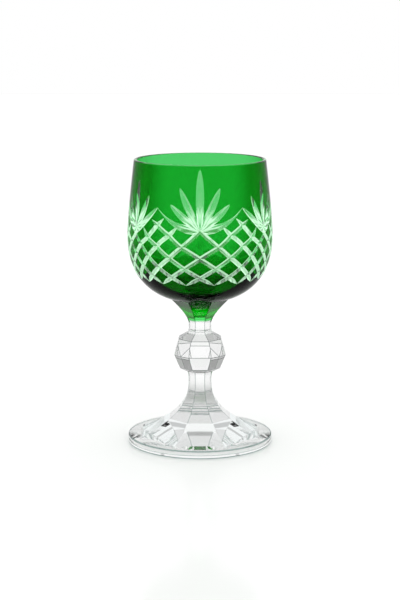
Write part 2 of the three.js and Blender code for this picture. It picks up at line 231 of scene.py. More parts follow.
@dataclass(frozen=True)
class Crystal(Finish):
    """Lead crystal with a polished face: clear, green all through, or clear under a thin green layer.

    Light takes the glass's colour each time it crosses the face. On a layer, light that the face throws
    back inside crosses the layer twice. What the outside mirrors keeps no colour, and is faint where it
    is seen straight on. The colour is also deepened where the face is seen aslant, and from one height
    to another. That is mostly painted shade, for the dark that bent light brings in: the longer path
    through glass seen aslant, and on the overlay its heavier gather low down, give only part of it.
    """

    passes: str
    thrown_back: float = 0.0
    # depth, aslant and the two heights below set the painted shade: where it is full, the colour is raised
    # to the power depth
    depth: float = 1.0
    aslant: float = 0.0
    aslant_from: float = 0.08
    aslant_to: float = 0.36
    unshaded_at_mm: float = -1.0
    shaded_at_mm: float = -2.0
    ior: float = 1.54
    outer_ior: float = 1.25
    wave_mm: float = 11.0
    wave_height_mm: float = 0.008

    def tint(self, add: Adder, deeper: NodeSocket | None, crossings: float) -> NodeSocket | Colour:
        """Finds the colour that light takes.

        Args:
            add: the adder of nodes to the material.
            deeper: the share of painted shade, from the unshaded colour to the fully shaded one, if it
                changes.
            crossings: how often the light crosses the face or the layer.

        Returns:
            A colour, or the socket of one that changes.
        """
        # The first colour has no painted shade, the second has the full painted shade
        thin = tuple(c**crossings for c in linear(self.passes)[:3]) + (1.0,)
        if deeper is None:
            return thin
        shaded_tint = tuple(c ** (crossings * self.depth) for c in linear(self.passes)[:3]) + (1.0,)
        mixed = add("ShaderNodeMix", {0: deeper, 6: thin, 7: shaded_tint}, data_type="RGBA")
        return mixed.outputs[2]

    def deeper(self, add: Adder, place: NodeSocket) -> NodeSocket | None:
        """Finds the share of painted shade: more towards the shaded height, and where the face is seen
        aslant.

        Args:
            add: the adder of nodes to the material.
            place: the object coordinates.

        Returns:
            A share from 0 to 1, or nothing where the colour is the same all over.
        """
        if self.depth == 1.0:
            return None
        height = add("ShaderNodeSeparateXYZ", {0: place}).outputs["Z"]
        # Painted shade that grows from the unshaded to the shaded height
        shaded_by_height = add(
            "ShaderNodeMapRange",
            {"Value": height, "From Min": self.unshaded_at_mm * MM, "From Max": self.shaded_at_mm * MM},
            interpolation_type="SMOOTHSTEP",
        )
        # Painted shade that grows as the face is seen aslant
        slant = seen_aslant(add, self.aslant_from, self.aslant_to, self.aslant)
        both = add("ShaderNodeMath", {0: shaded_by_height, 1: slant}, operation="ADD", use_clamp=True)
        return both.outputs[0]

    def nodes(self, add: Adder) -> None:
        """Adds glass that refracts, with the slow waves that a hand-worked face has.

        Args:
            add: the adder of nodes to the material.
        """
        place = add("ShaderNodeTexCoord").outputs["Object"]
        waves = add(
            "ShaderNodeTexNoise", {"Vector": place, "Scale": 1 / (self.wave_mm * MM), "Detail": 1.0}
        )
        bump = add(
            "ShaderNodeBump",
            {"Height": waves.outputs["Fac"], "Strength": 1.0, "Distance": self.wave_height_mm * MM},
        )
        deeper = self.deeper(add, place)
        once = self.tint(add, deeper, 1.0)
        back = self.tint(add, deeper, self.thrown_back)
        through = add(
            "ShaderNodeBsdfRefraction", {"Color": once, "Roughness": 0.0, "IOR": self.ior, "Normal": bump}
        )
        sides = []
        for ior, mirrors in ((self.outer_ior, WHITE), (self.ior, back)):
            mirror = add("ShaderNodeBsdfGlossy", {"Color": mirrors, "Roughness": 0.0, "Normal": bump})
            share = add("ShaderNodeFresnel", {"IOR": ior, "Normal": bump})
            sides.append(add("ShaderNodeMixShader", {0: share, 1: through, 2: mirror}))
        inside = add("ShaderNodeNewGeometry").outputs["Backfacing"]
        glass = add("ShaderNodeMixShader", {0: inside, 1: sides[0], 2: sides[1]})
        lit_through(add, glass, once)


@dataclass(frozen=True)
class GroundCrystal(Crystal):
    """Crystal ground by a wheel and polished in acid: its waves are shorter and lower than blown ones."""

    wave_mm: float = 3.0
    wave_height_mm: float = 0.003


@dataclass(frozen=True)
class SatinCut(Finish):
    """A groove ground through the overlay and dipped in acid: clear glass under a soft pale bloom.

    The bloom is a pale matt layer: a faint satin from the acid, made stronger as painted highlight for
    the light that the cuts bend and mirror. It is densest on the flanks that look down, low on the bowl,
    and where the cut is seen aslant: it fades from the dense to the faint height. On a fan these are
    distances from the base, where the blades meet, and the streaks run out along the blades. Light that
    leaves through a cut from inside goes straight on, in the colour of the overlay round it. A groove's
    streaks are streak_mm wide and longer upright. A fan has fan_streaks of them to a radian, each
    streak_length_mm long. That is coarser than the wheel's real grit, so that it shows.
    """

    leaves: str = EMERALD
    enters: str = "#DDF8E1"
    bloom: str = "#CDF8D5"
    bloom_dense: float = 0.58
    bloom_faint: float = 0.1
    bloom_aslant: float = 0.6
    aslant_from: float = 0.2
    aslant_to: float = 0.5
    dense_mm: float = 119.0
    faint_mm: float = 132.0
    fans: int = 0
    fan_base_mm: float = 118.0
    fan_radius_mm: float = 36.5
    fan_streaks: float = 6.0
    flank: float = 0.75
    flank_tilt: float = 0.4
    streak: float = 0.4
    streak_from: float = 0.4
    streak_to: float = 0.6
    streak_mm: float = 2.0
    streak_length_mm: float = 10.0
    upright: float = 0.35
    ior: float = 1.54
    roughness: float = 0.08

    def from_base(self, add: Adder, spot: Node) -> tuple[NodeSocket, Node]:
        """Measures a point of a fan from the middle of the fan's base, round the bowl and up.

        Args:
            add: the adder of nodes to the material.
            spot: the node that gives x, y and z.

        Returns:
            The distance in metres, and the node that gives the direction in radians.
        """
        x, y, z = spot.outputs
        turn = add("ShaderNodeMath", {0: x, 1: y}, operation="ARCTAN2")
        off = add("ShaderNodeMath", {0: turn, 1: math.pi / self.fans}, operation="PINGPONG")
        radius, base = self.fan_radius_mm * MM, self.fan_base_mm * MM
        across = add("ShaderNodeMath", {0: off, 1: radius}, operation="MULTIPLY")
        up = add("ShaderNodeMath", {0: z, 1: base}, operation="SUBTRACT")
        both = add("ShaderNodeCombineXYZ", {0: across, 1: up})
        away = add("ShaderNodeVectorMath", {0: both}, operation="LENGTH")
        aim = add("ShaderNodeMath", {0: across, 1: up}, operation="ARCTAN2")
        return away.outputs["Value"], aim

    def streaks(
        self, add: Adder, place: NodeSocket, away: NodeSocket | None, aim: Node | None
    ) -> Node:
        """Adds the streaks: upright ones on a groove, and ones that run out from the base on a fan.

        Args:
            add: the adder of nodes to the material.
            place: the object coordinates.
            away: on a fan, the distance from its base.
            aim: on a fan, the direction from its base.

        Returns:
            The node that gives a factor round 1.
        """
        if away is None:
            pattern = add("ShaderNodeMapping", {0: place, 3: (1.0, 1.0, self.upright)})
            scale = 1 / (self.streak_mm * MM)
        else:
            per_metre = 1 / (self.streak_length_mm * MM)
            along = add("ShaderNodeMath", {0: away, 1: per_metre}, operation="MULTIPLY")
            around = add("ShaderNodeMath", {0: aim, 1: self.fan_streaks}, operation="MULTIPLY")
            pattern = add("ShaderNodeCombineXYZ", {0: around, 1: along})
            scale = 1.0
        grain = add("ShaderNodeTexNoise", {"Vector": pattern, "Scale": scale, "Detail": 1.5})
        return add(
            "ShaderNodeMapRange",
            {"Value": grain.outputs["Fac"], "From Min": self.streak_from, "From Max": self.streak_to,
             "To Min": 1 - self.streak, "To Max": 1 + self.streak},
        )

    def nodes(self, add: Adder) -> None:
        """Adds clear glass under a matt pale green, whose share of painted highlight follows place, flank
        and streaks.

        Args:
            add: the adder of nodes to the material.
        """
        place = add("ShaderNodeTexCoord").outputs["Object"]
        spot = add("ShaderNodeSeparateXYZ", {0: place})
        away, aim = self.from_base(add, spot) if self.fans else (None, None)
        far = spot.outputs["Z"] if away is None else away
        # Painted highlight: the pale layer's share grows low down, on flanks that look down, and seen
        # aslant
        dense = add(
            "ShaderNodeMapRange",
            {"Value": far, "From Min": self.dense_mm * MM, "From Max": self.faint_mm * MM,
             "To Min": self.bloom_dense, "To Max": self.bloom_faint},
            interpolation_type="SMOOTHSTEP",
        )
        face = add("ShaderNodeNewGeometry").outputs
        tilt = add("ShaderNodeSeparateXYZ", {0: face["Normal"]})
        down = add(
            "ShaderNodeMapRange",
            {"Value": tilt.outputs["Z"], "From Min": -self.flank_tilt, "From Max": self.flank_tilt,
             "To Min": 1 + self.flank, "To Max": 1 - self.flank},
        )
        streaks = self.streaks(add, place, away, aim)
        both = add("ShaderNodeMath", {0: down, 1: streaks}, operation="MULTIPLY")
        flat_on = add("ShaderNodeMath", {0: dense, 1: both}, operation="MULTIPLY")
        aslant = seen_aslant(add, self.aslant_from, self.aslant_to, self.bloom_aslant)
        share = add("ShaderNodeMath", {0: flat_on, 1: aslant}, operation="ADD", use_clamp=True)
        clear = add(
            "ShaderNodeBsdfPrincipled",
            {"Base Color": linear(self.enters), "Roughness": self.roughness, "IOR": self.ior,
             "Transmission Weight": 1.0},
        )
        bloom = add("ShaderNodeBsdfDiffuse", {"Color": linear(self.bloom)})
        entering = add("ShaderNodeMixShader", {0: share, 1: clear, 2: bloom})
        leaving = add("ShaderNodeBsdfTransparent", {"Color": linear(self.leaves)})
        glass = add("ShaderNodeMixShader", {0: face["Backfacing"], 1: entering, 2: leaving})
        lit_through(add, glass, linear(self.leaves))


@dataclass(frozen=True)
class FusedJoint(Finish):
    """Where two pieces are melted into one: there is no air, so light passes straight on."""

    def nodes(self, add: Adder) -> None:
        """Adds what only lets light through."""
        clear = add("ShaderNodeBsdfTransparent")
        add("ShaderNodeOutputMaterial", {"Surface": clear})


# Fire-polished clear crystal: almost no colour of its own, and slow waves from being worked hot;
# its colour deepens a little where it is seen aslant, as painted shade
BLOWN = Crystal("fire_polished_crystal", "#FDFDFD", depth=4.0, aslant=1.0, aslant_from=0.3, aslant_to=1.0)
# Ground by a wheel and polished in acid: crisp, and darker low on the shaft, where it flares, and
# where it is seen aslant, which is painted shade
GROUND = GroundCrystal(
    "acid_polished_cut", "#FBFBFB", depth=7.0, aslant=1.0, aslant_from=0.1, aslant_to=0.7, unshaded_at_mm=32.0,
    shaded_at_mm=25.0,
)
# The knop's flats, which darken fast towards its outline as painted shade, for the light they send aside
KNOP_FLAT = GroundCrystal(
    "acid_polished_facet", "#FAFAFA", depth=18.0, aslant=1.0, aslant_from=0.15, aslant_to=0.6,
)
# The stem's flats where they run out over the foot, and show the pale table, with painted shade
# where they are seen aslant
LOW_GROUND = GroundCrystal(
    "acid_polished_flare", "#FCFDFD", depth=5.0, aslant=1.0, aslant_from=0.2, aslant_to=0.8,
)
# The rounded edges of the foot's rim, tinted grey-green as painted shade, for light that runs along
# inside the foot
FOOT_EDGE = GroundCrystal("foot_edge_painted_shade", "#B4C4C1")
# The narrow rounded ridges between two ground flats, tinted grey as painted shade, for the light they
# throw aside
RIDGE = GroundCrystal("rounded_ridge", "#C4CAC9")
# The knop's ridges, tinted darker still as painted shade, since they are sharper and seen against
# each other
KNOP_RIDGE = GroundCrystal("knop_ridge_painted_shade", "#858C8A")
# A thin layer of emerald-green glass over the crystal. Its colour deepens low down, partly from more
# glass gathered there and partly as painted shade, and where it is seen aslant, mostly as painted shade
OVERLAY = Crystal(
    "emerald_overlay", EMERALD, thrown_back=1.4, depth=2.15, aslant=0.95, unshaded_at_mm=106.0,
    shaded_at_mm=86.0, outer_ior=1.09,
)
# The overlay's rim, which fire-polishing thins and rounds, so that it is paler than the wall
RIM = Crystal("fire_polished_rim", "#B4ECC0")
# The wheel's cuts on the bowl, through which one green wall is seen instead of two
WHEEL_CUT = SatinCut("satin_wheel_cut")
# The fans' blades, cut by a wider wheel: pale at the base with painted highlight, and clearer towards
# their tips
BLADE_CUT = SatinCut(
    "satin_fan_blade", bloom_dense=0.9, bloom_faint=0.08, dense_mm=2.0, faint_mm=15.0, fans=6, flank=0.3,
    streak=0.9,
)
# The collar is green all through, and its flats are ground and polished like the clear ones; they
# darken at the top under the bowl and where they are seen aslant, as painted shade
GREEN_FLAT = GroundCrystal(
    "emerald_cut_collar", "#8EF2A2", depth=4.0, aslant=1.0, aslant_from=0.2, aslant_to=0.7, unshaded_at_mm=71.2,
    shaded_at_mm=72.6, outer_ior=1.4,
)
# The collar's rounded ridges, tinted darker than its flats as painted shade, as on the clear stem
GREEN_RIDGE = GroundCrystal("emerald_rounded_ridge", "#3E9A55")
# The faces where the maker melted one gather to the next
JOINT = FusedJoint("fused_joint")

# What each piece's faces are finished with
CLEAR = {
    Skin.POLISHED: BLOWN, Skin.CUT: GROUND, Skin.FUSED: JOINT, Skin.RIDGE: RIDGE, Skin.DETAIL: FOOT_EDGE,
}
FOOT = {**CLEAR, Skin.CUT: LOW_GROUND, Skin.RIDGE: LOW_GROUND}
KNOP = {**CLEAR, Skin.CUT: KNOP_FLAT, Skin.RIDGE: KNOP_RIDGE}
GREEN = {**CLEAR, Skin.POLISHED: GREEN_FLAT, Skin.CUT: GREEN_FLAT, Skin.RIDGE: GREEN_RIDGE}
CASING = {**CLEAR, Skin.POLISHED: OVERLAY, Skin.RIDGE: RIM, Skin.CUT: WHEEL_CUT, Skin.DETAIL: BLADE_CUT}


def placed(name: str, data: ID) -> Object:
    """Links a mesh, a camera or a lamp into the scene.

    Args:
        name: the object's name.
        data: the mesh, camera or lamp.

    Returns:
        The object.
    """
    made = bpy.data.objects.new(name, data)
    bpy.context.scene.collection.objects.link(made)
    return made


def finish_piece(name: str, mesh: Mesh, looks: dict[Skin, Finish], node: str) -> None:
    """Links a finished mesh into the scene as one piece of the glass, riding on the frame.

    Args:
        name: the piece's name.
        mesh: its mesh, in metres, with a Skin as each face's material index.
        looks: the finish of each skin.
        node: the frame's node that it stands for.
    """
    piece = placed(name, mesh)
    while len(mesh.materials) < len(Skin):
        mesh.materials.append(None)
    for skin, finish in looks.items():
        mesh.materials[int(skin)] = finish.material()
    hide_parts(node)
    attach(piece, BODY)
    log.info("%s: %d faces", name, len(mesh.polygons))


def to_mesh(
    name: str, points: Sequence[Sequence[float]], faces: Sequence[Sequence[int]], skins: Sequence[int]
) -> Mesh:
    """Makes a smooth-shaded mesh from points in millimetres.

    Args:
        name: the mesh's name.
        points: one row of x, y, z for each vertex.
        faces: vertex numbers of each face, anticlockwise from outside.
        skins: the Skin of each face.

    Returns:
        The mesh, in metres.
    """
    mesh = bpy.data.meshes.new(name)
    mesh.from_pydata((np.array(points) * MM).tolist(), [], faces)
    mesh.polygons.foreach_set("material_index", [int(s) for s in skins])
    mesh.polygons.foreach_set("use_smooth", [True] * len(faces))
    mesh.update()
    return mesh


def turned(name: str, profile: Sequence[Ring], skins: Sequence[Skin], segments: int) -> Mesh:
    """Turns a profile round the axis into a closed mesh.

    Args:
        name: the mesh's name.
        profile: radius and height pairs, which start and end on the axis, the outside bottom first.
        skins: the Skin of each step of the profile.
        segments: steps round the axis.

    Returns:
        The mesh, in metres.
    """
    turn = np.arange(segments) * 2 * math.pi / segments
    points: list[tuple[float, float, float]] = []
    rings: list[list[int]] = []
    for radius, height in profile:
        start = len(points)
        if radius < ON_AXIS:
            points.append((0.0, 0.0, height))
            rings.append([start] * segments)
        else:
            points += [(radius * math.cos(a), radius * math.sin(a), height) for a in turn]
            rings.append(list(range(start, start + segments)))
    faces, marks = [], []
    for low, high, skin in zip(rings, rings[1:], skins):
        for i in range(segments):
            j = (i + 1) % segments
            corners = [low[i], low[j], high[j], high[i]]
            faces.append([c for k, c in enumerate(corners) if c != corners[k - 1]])
            marks.append(skin)
    return to_mesh(name, points, faces, marks)


def carved(body: Mesh, shapes: Sequence[Mesh], working: Working) -> Mesh:
    """Takes meshes out of a body or joins them on, one after another.

    Args:
        body: the mesh that is worked on.
        shapes: meshes that each hold shapes that don't overlap one another.
        working: what they do to the body.

    Returns:
        A new mesh, whose faces keep the skin that they had on the body or the shape.
    """
    things = []
    for mesh in (body, *shapes):
        things.append(placed("work", mesh))
        for _ in Skin:
            mesh.materials.append(None)
    work, *tools = things
    for tool in tools:
        step = work.modifiers.new(tool.name, "BOOLEAN")
        step.solver = "MANIFOLD"
        step.operation = working.value
        step.object = tool
        step.material_mode = "INDEX"
    bpy.context.view_layer.update()
    result = bpy.data.meshes.new_from_object(work.evaluated_get(bpy.context.evaluated_depsgraph_get()))
    for thing in things:
        bpy.data.objects.remove(thing)
    return result


Shading = Callable[[np.ndarray, np.ndarray], np.ndarray]


def read(items: bpy.types.bpy_prop_collection, name: str, width: int = 1) -> np.ndarray:
    """Reads an attribute of every item of a mesh.

    Args:
        items: the vertices, corners or faces.
        name: the attribute.
        width: 1 if it is a whole number, else how many numbers it has.

    Returns:
        One whole number, or one row of numbers, for each item.
    """
    values = np.empty(len(items) * width, int if width == 1 else float)
    items.foreach_get(name, values)
    return values if width == 1 else values.reshape(-1, width)


def shade(mesh: Mesh, shading: dict[Skin, Shading], crease: float = 20.0) -> None:
    """Gives a mesh the true normals of its surface, so that light bends as if the faces were finer.

    Args:
        mesh: a mesh in metres.
        shading: for some skins, a function from corner points in millimetres and their face normals to
            the surface's normals there. Faces of other skins are smoothed up to the crease angle.
        crease: degrees between faces past which their shared edge is sharp.
    """
    mesh.polygons.foreach_set("use_smooth", [True] * len(mesh.polygons))
    mesh.set_sharp_from_angle(angle=math.radians(crease))
    normals = read(mesh.corner_normals, "vector", 3)
    points = read(mesh.vertices, "co", 3)[read(mesh.loops, "vertex_index")] / MM
    sizes = read(mesh.polygons, "loop_total")
    flat = np.repeat(read(mesh.polygons, "normal", 3), sizes, axis=0)
    of_corner = np.repeat(read(mesh.polygons, "material_index"), sizes)
    for skin, function in shading.items():
        chosen = of_corner == int(skin)
        normals[chosen] = function(points[chosen], flat[chosen])
    normals /= np.linalg.norm(normals, axis=1, keepdims=True)
    mesh.normals_split_custom_set(normals.tolist())


@dataclass
class BowlForm:
    """The outer face of the bowl: a superellipse below its widest place and a drawn-in lip above."""

    belt_radius: float
    rim_radius: float
    seat: float
    rim: float
    lip_height: float = 38.7
    lip_curve: float = 1.3
    roundness: float = 2.4
    seat_rise: float = 1.0

    @property
    def belt(self) -> float:
        """Height of the widest place."""
        return self.rim - self.lip_height

    @property
    def depth(self) -> float:
        """From the widest place down to where the round bottom would end."""
        return self.belt - self.seat + self.seat_rise

    def radius(self, z: np.ndarray) -> np.ndarray:
        """Finds the radius of the outer face.

        Args:
            z: heights.

        Returns:
            The radius at each.
        """
        up = np.clip((z - self.belt) / self.lip_height, 0, None)
        down = np.clip((self.belt - z) / self.depth, 0, 1)
        lip = self.belt_radius - (self.belt_radius - self.rim_radius) * up**self.lip_curve
        cup = self.belt_radius * (1 - down**self.roundness) ** (1 / self.roundness)
        return np.where(z >= self.belt, lip, cup)

    def normal(self, points: np.ndarray, _flat: np.ndarray | None = None) -> np.ndarray:
        """Finds the outward normals of the outer face.

        Args:
            points: places on it, one row of x, y, z for each.

        Returns:
            The normal at each.
        """
        z = np.minimum(points[:, 2], self.rim)
        slope = (self.radius(z + SMALL) - self.radius(z - SMALL)) / (2 * SMALL)
        r = np.maximum(np.hypot(points[:, 0], points[:, 1]), ON_AXIS)
        out = np.column_stack([points[:, 0] / r, points[:, 1] / r, -slope])
        return out / np.linalg.norm(out, axis=1, keepdims=True)

    def on(self, angle: float, height: float) -> tuple[Vector, Vector]:
        """Finds a place on the outer face.

        Args:
            angle: degrees round the axis from the front towards +X.
            height: millimetres above the widest place.

        Returns:
            The point and the outward normal there.
        """
        z = np.array([self.belt + height])
        r = float(self.radius(z)[0])
        turn = math.radians(angle)
        point = np.array([[r * math.sin(turn), -r * math.cos(turn), z[0]]])
        return Vector(point[0]), Vector(self.normal(point)[0])

    def outline(
        self, inset_belt: float, inset_rim: float, floor: float, top: float, rows: int
    ) -> list[Ring]:
        """Finds the outline of a face that lies inside the outer one, from the floor up.

        Args:
            inset_belt: thickness at the widest place and below it.
            inset_rim: thickness at the rim.
            floor: height where the outline starts.
            top: height where it ends.
            rows: steps of its lower half; the lip has half as many.

        Returns:
            Radius and height pairs.
        """
        depth = self.depth - inset_belt
        belt_radius = self.belt_radius - inset_belt
        start = (self.belt - floor) / depth
        end = math.asin(min(1.0, start ** (self.roundness / 2)))
        cup = []
        for i in range(rows):
            turn = end * (1 - i / rows)
            r = belt_radius * math.cos(turn) ** (2 / self.roundness)
            cup.append((r, self.belt - depth * math.sin(turn) ** (2 / self.roundness)))
        lip = []
        for i in range(rows // 2 + 1):
            height = (top - self.belt) * i / (rows // 2)
            share = height / self.lip_height
            inset = inset_belt + (inset_rim - inset_belt) * share**self.lip_curve
            drawn = (self.belt_radius - self.rim_radius) * share**self.lip_curve
            lip.append((self.belt_radius - drawn - inset, self.belt + height))
        return cup + lip


@dataclass(frozen=True)
class Blade:
    """One pointed blade of a fan.

    Angle of its tip from the fan's middle in degrees, height of its tip above the bowl's widest place,
    and greatest width. A belly under 1 is nearer the base, a higher taper thins the ends, and a lift
    over 1 makes it run out sideways before it turns up.
    """

    angle: float
    top: float
    width: float
    bow: float = 0.0
    belly: float = 1.0
    taper: float = 0.62
    lift: float = 1.0


@dataclass(frozen=True)
class Fan:
    """A fan of blades that spread from one point: one middle blade, and a pair for each other."""

    base: float
    blades: tuple[Blade, ...]


WIDE_FAN = Fan(6.3, (
    Blade(0, 36.7, 4.5),
    Blade(16.3, 27.3, 3.9, bow=0.6),
    Blade(24, 19, 3.7, bow=1.0),
    Blade(35.5, 17, 4.2, belly=0.5, taper=1.4, lift=2.2),
))
NARROW_FAN = Fan(2.3, (
    Blade(0, 30, 4.3),
    Blade(14.7, 22.6, 3.7, bow=0.6),
    Blade(24.5, 17.1, 3.0),
))


@dataclass(frozen=True)
class Station:
    """One place along a wheel's path: where it is on the bowl, and how wide and deep it bites."""

    angle: float
    height: float
    width: float
    depth: float


@dataclass
class CutPattern:
    """The wheel's work on the bowl: fans above a lattice of crossing grooves.

    Angles are in degrees round the bowl and heights in millimetres above its widest place. A groove's
    reach, run-in and run-out are counted in rows of the lattice, and its tip is a share of its width.
    Each wedge reaches past the bowl's face, in the share of its own depth that past_face says.
    """

    form: BowlForm
    fans: int = 6
    columns: int = 18
    spread: float = 5.0
    crowd: float = 4.2
    groove_width: float = 2.35
    groove_depth: float = 0.9
    groove_steps: int = 44
    groove_tip: float = 0.12
    run_in: float = 0.5
    run_out: float = 0.6
    blade_depth: float = 1.15
    blade_steps: int = 28
    blade_tip: float = 0.04
    past_face: float = 1.35
    top_row: float = 3.1
    top_rise: tuple[float, float] = (2.0, 1.2)
    rows: tuple[float, ...] = (-2.3, -8.0, -13.5, -18.4, -22.5)
    star_height: float = 8.2
    star_reach: float = 1.55
    lone_reach: float = 0.62
    lone_rise: float = 7.9

    def column(self, angle: float, row: float) -> float:
        """Finds where a lattice column really lies: the columns draw apart under the wide fans.

        Args:
            angle: degrees where it would lie among even columns.
            row: the number of the row, 0 for the top one.

        Returns:
            Degrees.
        """
        turn = math.radians(angle * self.fans / 2)
        near_fan = max(0.0, math.cos(turn)) * max(0.0, 1 - abs(row - 1))
        return angle + math.sin(turn) * (self.spread + self.crowd * near_fan)

    def wedges(self, name: str, paths: Sequence[Sequence[Station]], skin: Skin) -> Mesh:
        """Makes the wedges that a V-edged wheel takes out along some paths.

        Args:
            name: the mesh's name.
            paths: for each wedge its stations, none of which meets another wedge's.
            skin: what kind of face they leave.

        Returns:
            One mesh that holds them all.
        """
        points: list[Vector] = []
        faces: list[list[int]] = []
        for stations in paths:
            start = len(points)
            places = [self.form.on(s.angle, s.height) for s in stations]
            last = len(stations) - 1
            for i, (station, (point, normal)) in enumerate(zip(stations, places)):
                ahead = places[min(i + 1, last)][0] - places[max(i - 1, 0)][0]
                side = ahead.cross(normal).normalized()
                edge = point - normal * station.depth
                rise = normal * station.depth * self.past_face
                reach = side * (station.width / 2 * self.past_face)
                points += [edge, edge + rise + reach, edge + rise - reach]
            faces.append([start, start + 1, start + 2])
            for i in range(last):
                row = start + 3 * i
                for k in range(3):
                    a, b = row + k, row + (k + 1) % 3
                    faces.append([a, a + 3, b + 3, b])
            end = start + 3 * last
            faces.append([end, end + 2, end + 1])
        return to_mesh(name, points, faces, [skin] * len(faces))

    def top(self, angle: float) -> float:
        """Finds the height of the lattice's top row, which rises to the wide fans.

        Args:
            angle: degrees round the bowl.

        Returns:
            Millimetres above the widest place.
        """
        third, sixth = self.top_rise
        turn = math.radians(angle * self.fans / 2)
        return self.top_row + third * math.cos(turn) + sixth * math.cos(2 * turn)

    def groove(self, start: float, turn: int) -> list[Station]:
        """Finds the path of one lattice groove, from its free end or a fan's base to its lower tip.

        Args:
            start: degrees where it crosses the top row.
            turn: 1 to run towards +X as it goes down, -1 to run the other way.

        Returns:
            Its stations.
        """
        step = 180 / self.columns
        fan_step = 360 / self.fans
        to_fan = (start * turn) % fan_step / step
        # A groove starts at a fan's base, or alone above the top row, or as an arm of a star
        reach = {0: 0.0, 2: self.lone_reach, 4: self.star_reach}[round(to_fan)]
        rows = [0.0, *range(1, len(self.rows) + 1)]
        heights = [self.top(start), *self.rows]
        if reach:
            crossing = self.star_height if reach > 1 else heights[0] + self.lone_rise
            rows = [-2.0, -1.0, *rows]
            heights = [2 * crossing - heights[0], crossing, *heights]
        path = []
        for i in range(self.groove_steps + 1):
            row = -reach + (rows[-1] + reach) * i / self.groove_steps
            bite = min(1.0, self.groove_tip + (rows[-1] - row) / self.run_out)
            if reach:
                bite = min(bite, self.groove_tip + (row + reach) / self.run_in)
            height = float(np.interp(row, rows, heights))
            angle = self.column(start + turn * row * step, row)
            path.append(Station(angle, height, self.groove_width * bite, self.groove_depth * bite))
        return path

    def blade(self, centre: float, base: float, shape: Blade, side: int) -> list[Station]:
        """Finds the path of one blade, from the fan's base to its tip.

        Args:
            centre: degrees of the fan's middle.
            base: height of the fan's base.
            shape: the blade.
            side: 1 or -1, the side of the fan it is on.

        Returns:
            Its stations.
        """
        path = []
        for i in range(self.blade_steps + 1):
            share = i / self.blade_steps
            swell = math.sin(math.pi * share**shape.belly) ** shape.taper
            swell = self.blade_tip + (1 - self.blade_tip) * swell
            width, depth = shape.width * swell, self.blade_depth * swell
            lean = shape.angle * share + shape.bow * math.sin(math.pi * share)
            height = base + (shape.top - base) * share**shape.lift
            path.append(Station(centre + side * lean, height, width, depth))
        return path

    def tools(self) -> list[Mesh]:
        """Makes every cut, in batches whose wedges don't meet each other.

        Returns:
            One mesh for each batch.
        """
        step = 360 / self.columns
        made = []
        for turn in (1, -1):
            paths = [self.groove(c * step, turn) for c in range(self.columns)]
            made.append(self.wedges("grooves", paths, Skin.CUT))
        fan_step = 360 / self.fans
        for fan, first in ((WIDE_FAN, 0), (NARROW_FAN, 1)):
            centres = [i * fan_step for i in range(first, self.fans, 2)]
            for shape in fan.blades:
                for side in (1, -1) if shape.angle else (1,):
                    paths = [self.blade(c, fan.base, shape, side) for c in centres]
                    made.append(self.wedges("blades", paths, Skin.DETAIL))
        return made


@dataclass
class EightSided:
    """A ground stem form: eight flat panels, one facing the front, with slightly rounded ridges."""

    apothem: Callable[[float], float]
    low: float
    high: float
    rows: int
    sides: int = 8
    ridge: float = 0.6
    ridge_steps: int = 4

    def mesh(self, name: str) -> Mesh:
        """Lofts the panels.

        Args:
            name: the mesh's name.

        Returns:
            The closed mesh, in metres, with both its ends fused.
        """
        points, faces, skins = [], [], []
        count = self.sides * (self.ridge_steps + 1)
        for i in range(self.rows + 1):
            z = self.low + (self.high - self.low) * i / self.rows
            points += self.ring(self.apothem(z), z)
        for i in range(self.rows):
            for k in range(count):
                a, b = i * count + k, i * count + (k + 1) % count
                faces.append([a, b, b + count, a + count])
                skins.append(Skin.CUT if k % (self.ridge_steps + 1) == self.ridge_steps else Skin.RIDGE)
        top = self.rows * count
        faces.append(list(range(count))[::-1])
        faces.append(list(range(top, top + count)))
        skins += [Skin.FUSED, Skin.FUSED]
        return to_mesh(name, points, faces, skins)

    def shaded(self, mesh: Mesh) -> Mesh:
        """Gives a mesh that has these panels their true normals, and returns it."""
        shade(mesh, {Skin.CUT: self.normal, Skin.RIDGE: self.normal, Skin.FUSED: lambda _, flat: flat})
        return mesh

    def ring(self, apothem: float, z: float) -> list[tuple[float, float, float]]:
        """Finds the outline at one height.

        Args:
            apothem: distance from the axis to a panel.
            z: the height.

        Returns:
            Its points, anticlockwise.
        """
        half = math.pi / self.sides
        centre = (apothem - self.ridge) / math.cos(half)
        points = []
        for side in range(self.sides):
            corner = (side + 0.5) * 2 * half - math.pi / 2
            for k in range(self.ridge_steps + 1):
                a = corner - half + 2 * half * k / self.ridge_steps
                x = centre * math.cos(corner) + self.ridge * math.cos(a)
                y = centre * math.sin(corner) + self.ridge * math.sin(a)
                points.append((x, y, z))
        return points

    def normal(self, points: np.ndarray, _flat: np.ndarray) -> np.ndarray:
        """Finds the normals of the panels and ridges, flat across each panel.

        Args:
            points: places on them, one row of x, y, z for each.

        Returns:
            The normal at each.
        """
        half = math.pi / self.sides
        angle = np.arctan2(points[:, 1], points[:, 0]) + math.pi / 2
        panel = np.round(angle / (2 * half)) * 2 * half
        across = np.hypot(points[:, 0], points[:, 1]) * np.sin(angle - panel)
        z = np.clip(points[:, 2], self.low, self.high)
        above, below = np.minimum(z + SMALL, self.high), np.maximum(z - SMALL, self.low)
        rise = [self.apothem(float(up)) - self.apothem(float(down)) for up, down in zip(above, below)]
        slope = np.array(rise) / (above - below)
        apothem = np.array([self.apothem(float(v)) for v in z])
        edge = (apothem - self.ridge) * math.tan(half)
        past = np.clip((np.abs(across) - edge) / self.ridge, 0, math.sin(half))
        turn = panel + np.sign(across) * np.arcsin(past) - math.pi / 2
        out = np.column_stack([np.cos(turn), np.sin(turn), -slope])
        return out / np.linalg.norm(out, axis=1, keepdims=True)


def height_of(node: str, end: int) -> float:
    """Height in millimetres of a frame node's lower (0) or upper (1) end."""
    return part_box(node)[end].z / MM


